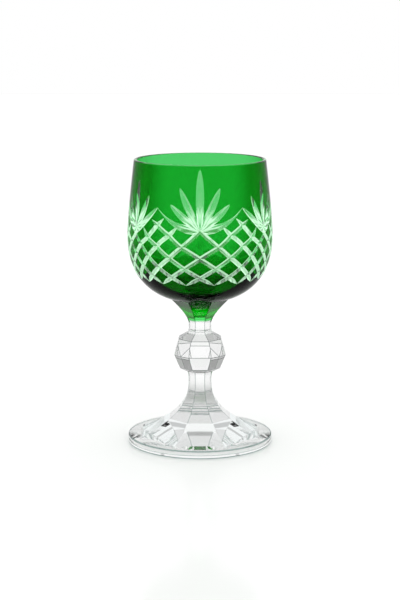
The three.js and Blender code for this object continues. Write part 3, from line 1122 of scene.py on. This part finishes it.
def eased(low: float, high: float, share: float, power: float) -> float:
    """A value that leaves low slowly and reaches high at a share of 1."""
    return low + (high - low) * max(0.0, share) ** power


def quarter(steps: int) -> list[float]:
    """Angles from 0 to a right angle, in radians."""
    return [math.pi / 2 * k / steps for k in range(steps + 1)]


@dataclass
class Bowl:
    """The bowl: a clear blown wall inside, and the green overlay with the wheel's cuts outside.

    The skin is the overlay's thickness, and the wall is that of both layers. A film of air keeps the two
    apart, and the hollow's outline starts a hair over its floor, where it has a radius.
    """

    form: BowlForm
    skin_belt: float = 1.5
    skin_rim: float = 0.9
    wall_belt: float = 3.4
    wall_rim: float = 1.6
    bottom: float = 5.5
    hollow_roundness: float = 2.3
    film: float = 0.01
    over_floor: float = 0.004
    segments: int = 160
    rows: int = 44

    def casing_mesh(self, pattern: CutPattern) -> Mesh:
        """Makes the overlay, cut by the wheel.

        Args:
            pattern: the cuts.

        Returns:
            The closed mesh, in metres.
        """
        form = self.form
        ease = self.skin_rim / 2
        outer = form.outline(0, 0, form.seat, form.rim - ease, self.rows)
        inner = form.outline(
            self.skin_belt - self.film, self.skin_rim - self.film, form.seat + self.skin_belt - self.film,
            form.rim, self.rows,
        )
        top = [
            (form.rim_radius - ease * (1 - math.cos(a)), form.rim - ease + ease * math.sin(a))
            for a in quarter(4)[1:]
        ]
        inner = inner[::-1]
        profile = [(0.0, form.seat), *outer, *top, *inner, (0.0, inner[-1][1])]
        skins = [Skin.POLISHED] * len(outer) + [Skin.RIDGE] * (len(top) + 1) + [Skin.FUSED] * len(inner)
        body = turned("cut_casing", profile, skins[: len(profile) - 1], self.segments)
        made = carved(body, pattern.tools(), Working.TAKEN_OUT)
        shade(made, {Skin.POLISHED: form.normal})
        return made

    def crystal_mesh(self) -> Mesh:
        """Makes the clear bowl inside the overlay.

        Returns:
            The closed mesh, in metres.
        """
        form = self.form
        outer = form.outline(
            self.skin_belt, self.skin_rim, form.seat + self.skin_belt, form.rim, self.rows
        )
        floor = form.seat + self.bottom
        hollow = BowlForm(
            form.belt_radius - self.wall_belt, form.rim_radius - self.wall_rim, floor, form.rim,
            form.lip_height, form.lip_curve, roundness=self.hollow_roundness, seat_rise=0.0,
        )
        ease = self.wall_rim - self.skin_rim
        inner = hollow.outline(0, 0, floor + self.over_floor, form.rim - ease, self.rows)[::-1]
        edge = form.rim_radius - self.wall_rim
        top = [
            (edge + ease * (1 - math.sin(a)), form.rim - ease * (1 - math.cos(a)))
            for a in quarter(5)[1:-1]
        ]
        profile = [(0.0, outer[0][1]), *outer, *top, *inner, (0.0, inner[-1][1])]
        skins = [Skin.FUSED] * len(outer) + [Skin.POLISHED] * (len(top) + 1 + len(inner))
        made = turned("blown_bowl", profile, skins[: len(profile) - 1], self.segments)
        shade(made, {}, crease=30.0)
        return made


@dataclass
class Stem:
    """Everything between the bowl and the table but the knop: collar, neck, shaft and foot.

    The collar wraps the bowl's bottom up to a height over its seat, and sinks a hair into it. The flare's
    root lies inside the foot, under the top of its edge.
    """

    neck_waist: float = 5.95
    collar_foot: float = 6.55
    collar_top: float = 14.05
    collar_curve: float = 1.3
    collar_wrap: float = 3.5
    collar_sink: float = 0.03
    knop_end: float = 6.6
    shaft_waist: float = 6.05
    waist_drop: float = 3.9
    flare_reach: float = 36.5
    flare_curve: float = 2.65
    foot_radius: float = 38.25
    foot_edge: float = 4.3
    foot_crown: float = 1.3
    foot_ease: float = 0.7
    flare_root: float = 1.1
    levels: dict[str, float] = field(init=False)

    def __post_init__(self) -> None:
        """Takes the joints' heights from the frame."""
        self.levels = {
            "foot": height_of("foot", 1),
            "shaft": height_of("shaft", 1),
            "knop": height_of("faceted_knop", 1),
            "neck": height_of("neck", 1),
            "seat": height_of("bowl_casing", 0),
        }

    def collar_apothem(self, z: float) -> float:
        """Distance from the axis to a panel of the collar."""
        low, high = self.levels["neck"], self.levels["seat"]
        return eased(self.collar_foot, self.collar_top, (z - low) / (high - low), self.collar_curve)

    def neck_apothem(self, z: float) -> float:
        """Finds the distance from the axis to a panel of the neck.

        Args:
            z: the height.

        Returns:
            Millimetres.
        """
        low, high = self.levels["knop"], self.levels["neck"]
        share = 2 * (z - low) / (high - low) - 1
        end = self.knop_end if share < 0 else self.collar_foot
        return eased(self.neck_waist, end, abs(share), power=4)

    def shaft_apothem(self, z: float) -> float:
        """Finds the distance from the axis to a panel of the shaft and of the flare below it.

        Args:
            z: the height.

        Returns:
            Millimetres.
        """
        waist = self.levels["shaft"] - self.waist_drop
        if z > waist:
            return eased(self.shaft_waist, self.knop_end, (z - waist) / self.waist_drop, power=2)
        return eased(self.shaft_waist, self.shaft_waist + self.flare_reach, 1 - z / waist, self.flare_curve)

    def collar_mesh(self, form: BowlForm) -> Mesh:
        """Makes the collar, hollowed on top to the bowl's round bottom.

        Args:
            form: the bowl's outer face.

        Returns:
            The closed mesh, in metres.
        """
        low, high = self.levels["neck"], self.levels["seat"] + self.collar_wrap
        blank = EightSided(self.collar_apothem, low, high, rows=40)
        outline = [(r, z + self.collar_sink) for r, z in form.outline(0, 0, form.seat, form.rim, rows=40)]
        outline = [p for p in outline if p[1] < form.belt]
        over = form.belt + 1
        profile = [(0.0, outline[0][1]), *outline, (outline[-1][0], over), (0.0, over)]
        hollow = turned("hollow", profile, [Skin.FUSED] * len(profile), segments=128)
        return blank.shaded(carved(blank.mesh("collar"), [hollow], Working.TAKEN_OUT))

    def neck_mesh(self) -> Mesh:
        """Makes the neck."""
        form = EightSided(self.neck_apothem, self.levels["knop"], self.levels["neck"], rows=24)
        return form.shaded(form.mesh("neck"))

    def shaft_mesh(self) -> Mesh:
        """Makes the shaft."""
        form = EightSided(self.shaft_apothem, self.levels["foot"], self.levels["shaft"], rows=60)
        return form.shaded(form.mesh("shaft"))

    def foot_mesh(self) -> Mesh:
        """Makes the round foot with the last of the eight-sided flare on it.

        Returns:
            The closed mesh, in metres.
        """
        radius, edge, ease = self.foot_radius, self.foot_edge, self.foot_ease
        arc = quarter(5)
        profile = [(0.0, 0.0)]
        profile += [(radius - ease + ease * math.sin(a), ease - ease * math.cos(a)) for a in arc]
        profile += [(radius - ease + ease * math.cos(a), edge - ease + ease * math.sin(a)) for a in arc]
        profile += [(radius / 2, edge + self.foot_crown), (0.0, edge + self.foot_crown)]
        rounded = [Skin.DETAIL] * (len(arc) - 1)
        skins = [Skin.POLISHED, *rounded, Skin.POLISHED, *rounded, Skin.POLISHED, Skin.POLISHED]
        disc = turned("foot", profile, skins, segments=192)
        flare = EightSided(self.shaft_apothem, edge - self.flare_root, self.levels["foot"], rows=50)
        return flare.shaded(carved(disc, [flare.mesh("flare")], Working.JOINED_ON))


@dataclass
class Knop:
    """The faceted knop: four tall panels, and between each two of them a pair that meets at a ridge.

    It is ground from a blank that is wider than its belt by a factor. A face whose normal is more upright
    than the level is an end, which is fused to the next piece and keeps its edges sharp.
    """

    low: float
    high: float
    end: float = 6.6
    panels: int = 4
    belt: float = 13.54
    panel_half: float = 5.9
    equator: float = 0.464
    panel_leans: tuple[float, float] = (16.0, 20.0)
    pair_angle: float = 39.9
    pair_leans: tuple[float, float] = (16.2, 24.0)
    kite_lean: float = 20.4
    shoulder_leans: tuple[float, float] = (57.5, 60.0)
    ease: float = 0.17
    tiny_edge: float = 0.6
    blank: float = 1.4
    level: float = 0.999

    def planes(self) -> list[tuple[float, float, float, float]]:
        """Lists the ground flats.

        Returns:
            For each its angle in degrees, the distance from the axis and the height of a place on it, and
            the degrees that it leans up.
        """
        middle = self.low + (self.high - self.low) * self.equator
        aside = math.radians(self.pair_angle)
        pair = self.panel_half * math.sin(aside) + self.belt * math.cos(aside)
        half_step = 180 / self.panels
        ridge = pair / math.cos(math.radians(half_step) - aside)
        flats = []
        for side in range(self.panels):
            front = side * 2 * half_step
            around = [(front, self.belt, self.panel_leans)]
            for turn in (-self.pair_angle, self.pair_angle):
                around.append((front + turn, pair, self.pair_leans))
            for angle, distance, (upper, lower) in around:
                flats += [(angle, distance, middle, upper), (angle, distance, middle, -lower)]
            flats.append((front + half_step, ridge, middle, self.kite_lean))
            for angle in (front, front + half_step):
                flats.append((angle, self.end, self.high, self.shoulder_leans[0]))
                flats.append((angle, self.end, self.low, -self.shoulder_leans[1]))
        return flats

    def mesh(self) -> Mesh:
        """Grinds the knop out of a round blank.

        Returns:
            The closed mesh, in metres, with slightly rounded edges.
        """
        work = bmesh.new()
        reach = self.belt * self.blank
        blank = bmesh.ops.create_cone(
            work, cap_ends=True, segments=64, radius1=reach, radius2=reach, depth=self.high - self.low
        )
        bmesh.ops.translate(work, verts=blank["verts"], vec=(0, 0, (self.low + self.high) / 2))
        for angle, distance, height, lean in self.planes():
            turn, tilt = math.radians(angle), math.radians(lean)
            out = Vector((math.sin(turn), -math.cos(turn), 0))
            normal = out * math.cos(tilt) + Vector((0, 0, math.sin(tilt)))
            cut = bmesh.ops.bisect_plane(
                work, geom=work.verts[:] + work.edges[:] + work.faces[:], dist=1e-5,
                plane_co=out * distance + Vector((0, 0, height)), plane_no=normal, clear_outer=True,
            )
            rim = [e for e in cut["geom_cut"] if isinstance(e, bmesh.types.BMEdge)]
            if rim:
                bmesh.ops.contextual_create(work, geom=rim)
        bmesh.ops.recalc_face_normals(work, faces=work.faces[:])
        for face in work.faces:
            face.material_index = int(Skin.CUT)
        # The shortest edge limits how far every edge can be rounded, so the tiny ones are merged away
        bmesh.ops.remove_doubles(work, verts=work.verts[:], dist=self.tiny_edge)
        caps = [f for f in work.faces if abs(f.normal.z) > self.level]
        for face in caps:
            face.material_index = int(Skin.FUSED)
        inner = [e for e in work.edges if all(f not in caps for f in e.link_faces)]
        bevel = bmesh.ops.bevel(
            work, geom=inner, offset=self.ease, segments=2, profile=0.5, affect="EDGES", clamp_overlap=True
        )
        for face in work.faces:
            face.smooth = False
        for face in bevel["faces"]:
            face.smooth = True
            face.material_index = int(Skin.RIDGE)
        bmesh.ops.scale(work, vec=(MM, MM, MM), verts=work.verts[:])
        mesh = bpy.data.meshes.new("knop")
        work.to_mesh(mesh)
        work.free()
        return mesh


@dataclass
class Studio:
    """A light tent: white all round with narrow dark seams, a white table and one soft lamp.

    Sizes are in metres, but the table's gap under the foot is in millimetres. Heights on the tent go from
    0 at the horizon to 1 overhead, and seams are in radians round it. Its levels are shares of full white,
    and matt faces are lit by the level on_matt.
    """

    camera_distance: float = 0.828
    camera_height: float = 0.234
    camera_pitch: float = 10.8
    lens: float = 95.8
    floor_size: float = 6.0
    table_gap: float = 0.15
    table_colour: str = "#C4C4C4"
    table_glow: float = 0.05
    table_gloss: float = 0.13
    gloss_roughness: float = 0.12
    roof_from: float = 0.72
    roof_to: float = 0.8
    roof_level: float = 0.95
    band_at: float = 0.33
    band_half: float = 0.035
    seams: int = 8
    seam_half: float = 0.03
    seam_level: float = 0.6
    seam_core: float = 0.5
    on_matt: float = 1.9
    lamp_size: tuple[float, float] = (0.8, 0.6)
    lamp_place: tuple[float, float, float] = (0.0, 0.15, 1.1)
    lamp_watts: float = 1.0

    def camera(self) -> None:
        """Places the camera at the photograph's viewing angle."""
        data = bpy.data.cameras.new("camera")
        data.lens = self.lens
        data.sensor_width = 36.0
        data.sensor_fit = "AUTO"
        data.clip_start = 0.01
        camera = placed("camera", data)
        camera.location = (0.0, -self.camera_distance, self.camera_height)
        camera.rotation_euler = (math.radians(90 - self.camera_pitch), 0.0, 0.0)
        bpy.context.scene.camera = camera

    def table(self) -> None:
        """Lays the glossy white table, which keeps the glass's shadow and a faint mirror image."""
        half = self.floor_size / 2 / MM
        around = ((-half, -half), (half, -half), (half, half), (-half, half))
        mesh = to_mesh("table", [(x, y, -self.table_gap) for x, y in around], [[0, 1, 2, 3]], [0])
        made = bpy.data.materials.new("white_acrylic")
        add = emptied(made)
        sheet = add("ShaderNodeBsdfDiffuse", {"Color": linear(self.table_colour)})
        glow = add("ShaderNodeEmission", {"Color": WHITE, "Strength": self.table_glow})
        both = add("ShaderNodeAddShader", {0: sheet, 1: glow})
        path = add("ShaderNodeLightPath").outputs
        shown = path["Is Camera Ray"]
        for ray in ("Is Glossy Ray", "Is Transmission Ray"):
            shown = add("ShaderNodeMath", {0: shown, 1: path[ray]}, operation="MAXIMUM")
        mixed = add("ShaderNodeMixShader", {0: shown, 1: sheet, 2: both})
        gloss = add("ShaderNodeBsdfGlossy", {"Color": WHITE, "Roughness": self.gloss_roughness})
        coated = add("ShaderNodeMixShader", {0: self.table_gloss, 1: mixed, 2: gloss})
        add("ShaderNodeOutputMaterial", {"Surface": coated})
        mesh.materials.append(made)
        table = placed("table", mesh)

    def tent(self) -> None:
        """Builds the tent as a world: white, with a dark band, upright seams and a duller roof."""
        world = bpy.data.worlds.new("light_tent")
        bpy.context.scene.world = world
        add = emptied(world)
        place = add("ShaderNodeTexCoord").outputs["Generated"]
        x, y, z = add("ShaderNodeSeparateXYZ", {0: place}).outputs
        roof = add(
            "ShaderNodeMapRange",
            {"Value": z, "From Min": self.roof_from, "From Max": self.roof_to, "To Min": 1.0,
             "To Max": self.roof_level},
            interpolation_type="SMOOTHSTEP",
        )
        off = add("ShaderNodeMath", {0: z, 1: self.band_at}, operation="SUBTRACT")
        band = self.seam(add, off, self.band_half)
        banded = add("ShaderNodeMath", {0: roof, 1: band}, operation="MULTIPLY")
        turn = add("ShaderNodeMath", {0: x, 1: y}, operation="ARCTAN2")
        step = 2 * math.pi / self.seams
        to_next = add("ShaderNodeMath", {0: turn, 1: step}, operation="PINGPONG")
        off_seam = add("ShaderNodeMath", {0: to_next, 1: step / 2}, operation="SUBTRACT")
        upright = self.seam(add, off_seam, self.seam_half)
        tent = add("ShaderNodeMath", {0: banded, 1: upright}, operation="MULTIPLY")
        path = add("ShaderNodeLightPath").outputs
        on_matt = add(
            "ShaderNodeMix", {0: path["Is Diffuse Ray"], 2: tent, 3: self.on_matt}, data_type="FLOAT"
        )
        level = add("ShaderNodeMix", {0: path["Is Camera Ray"], 2: on_matt, 3: 1.0}, data_type="FLOAT")
        sky = add("ShaderNodeBackground", {"Color": WHITE, "Strength": level})
        add("ShaderNodeOutputWorld", {"Surface": sky})

    def seam(self, add: Adder, off: Node, half: float) -> Node:
        """Adds a dark seam of the tent, soft at both sides.

        Args:
            add: the adder of nodes to the world.
            off: the node that gives the distance from the middle of the seam.
            half: half of its width, in the same measure.

        Returns:
            The node that gives the share of the tent's light that is left there.
        """
        away = add("ShaderNodeMath", {0: off}, operation="ABSOLUTE")
        return add(
            "ShaderNodeMapRange",
            {"Value": away, "From Min": half * self.seam_core, "From Max": half, "To Min": self.seam_level},
            interpolation_type="SMOOTHSTEP",
        )

    def lamp(self) -> None:
        """Hangs one soft lamp over the table, for the shadow under the foot."""
        data = bpy.data.lights.new("overhead", "AREA")
        data.shape = "RECTANGLE"
        data.size, data.size_y = self.lamp_size
        data.energy = self.lamp_watts
        placed("overhead", data).location = self.lamp_place

    def build(self) -> None:
        """Sets up the camera, the table, the tent, the lamp and how light is followed."""
        self.camera()
        self.table()
        self.tent()
        self.lamp()
        scene = bpy.context.scene
        scene.view_settings.view_transform = "Standard"
        scene.cycles.max_bounces = 32
        scene.cycles.transmission_bounces = 32
        scene.cycles.glossy_bounces = 16
        scene.cycles.transparent_max_bounces = 64
        scene.cycles.caustics_refractive = False
        scene.cycles.caustics_reflective = False


def main() -> None:
    """Builds every piece of the glass around the frame, and the studio round it."""
    logging.basicConfig(level=logging.INFO, format="%(name)s %(message)s")
    bottom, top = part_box("bowl_casing")
    form = BowlForm(
        belt_radius=top.x / MM, rim_radius=34.4, seat=bottom.z / MM, rim=height_of("crystal_bowl", 1)
    )
    bowl = Bowl(form)
    finish_piece("cut_casing", bowl.casing_mesh(CutPattern(form)), CASING, "bowl_casing")
    finish_piece("blown_bowl", bowl.crystal_mesh(), CLEAR, "crystal_bowl")

    stem = Stem()
    knop = Knop(stem.levels["shaft"], stem.levels["knop"])
    finish_piece("green_collar", stem.collar_mesh(form), GREEN, "collar")
    finish_piece("clear_neck", stem.neck_mesh(), CLEAR, "neck")
    finish_piece("cut_knop", knop.mesh(), KNOP, "faceted_knop")
    finish_piece("clear_shaft", stem.shaft_mesh(), CLEAR, "shaft")
    finish_piece("round_foot", stem.foot_mesh(), FOOT, "foot")

    Studio().build()


if __name__ == "__main__":
    main()
